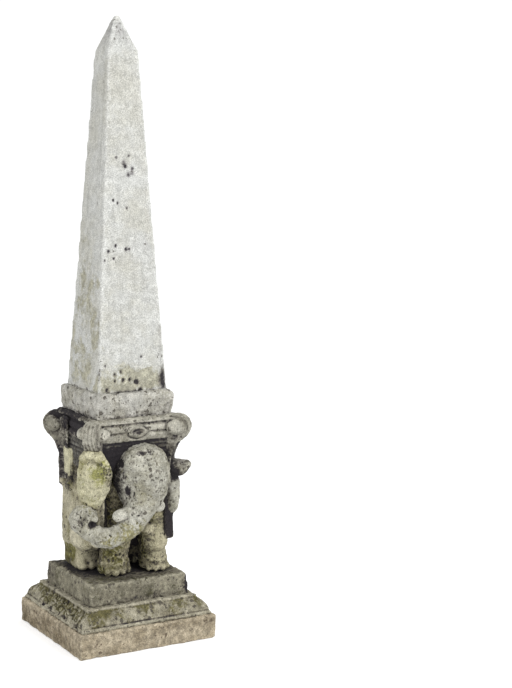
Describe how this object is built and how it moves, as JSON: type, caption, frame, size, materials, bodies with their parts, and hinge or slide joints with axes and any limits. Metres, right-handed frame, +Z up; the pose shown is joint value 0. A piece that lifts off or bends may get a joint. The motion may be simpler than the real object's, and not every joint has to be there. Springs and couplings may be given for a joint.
{
  "type": "garden obelisk on an elephant base",
  "caption": "Cast stone garden obelisk: stepped square base, an elephant carrying a horned capital, a square collar and a tapered shaft with a pyramid point.",
  "frame": {"origin": "middle of the underside of the plinth", "axes": "+Z up; the elephant looks along -Y, so its right side is -X"},
  "size_m": [0.475, 0.475, 1.976],
  "materials": {
    "plinth_stone": "weathered cast stone, warm buff, worn round at the edges",
    "mossy_stone": "weathered cast stone, moss and green algae in the hollows",
    "slab_stone": "weathered cast stone, dark with soot and damp algae",
    "elephant_stone": "weathered cast stone, cream to grey with lichen spots and soot in the recesses",
    "leg_stone": "weathered cast stone, green-brown with algae",
    "capital_stone": "weathered cast stone, grey-beige with sooty recesses",
    "shaft_stone": "weathered cast stone, pale grey-cream, finely pitted, black lichen specks"
  },
  "bodies": {
    "root": {"plinth": "plinth_stone", "base_moulding": "mossy_stone", "pedestal_slab": "slab_stone", "elephant_body": "elephant_stone", "elephant_head": "elephant_stone", "trunk": "elephant_stone", "right_ear": "elephant_stone", "left_ear": "elephant_stone", "right_tusk": "elephant_stone", "left_tusk": "elephant_stone", "front_right_leg": "leg_stone", "front_left_leg": "leg_stone", "hind_right_leg": "leg_stone", "hind_left_leg": "leg_stone", "tail": "elephant_stone", "right_saddle_flap": "elephant_stone", "left_saddle_flap": "elephant_stone", "capital_bell": "capital_stone", "capital_channel": "capital_stone", "capital_cover": "capital_stone", "front_cartouche": "capital_stone", "back_cartouche": "capital_stone", "right_leaf_pendant": "capital_stone", "left_leaf_pendant": "capital_stone", "front_right_scroll": "capital_stone", "front_left_scroll": "capital_stone", "back_right_scroll": "capital_stone", "back_left_scroll": "capital_stone", "collar": "shaft_stone", "shaft": "shaft_stone", "point": "shaft_stone"}
  },
  "joints": []
}
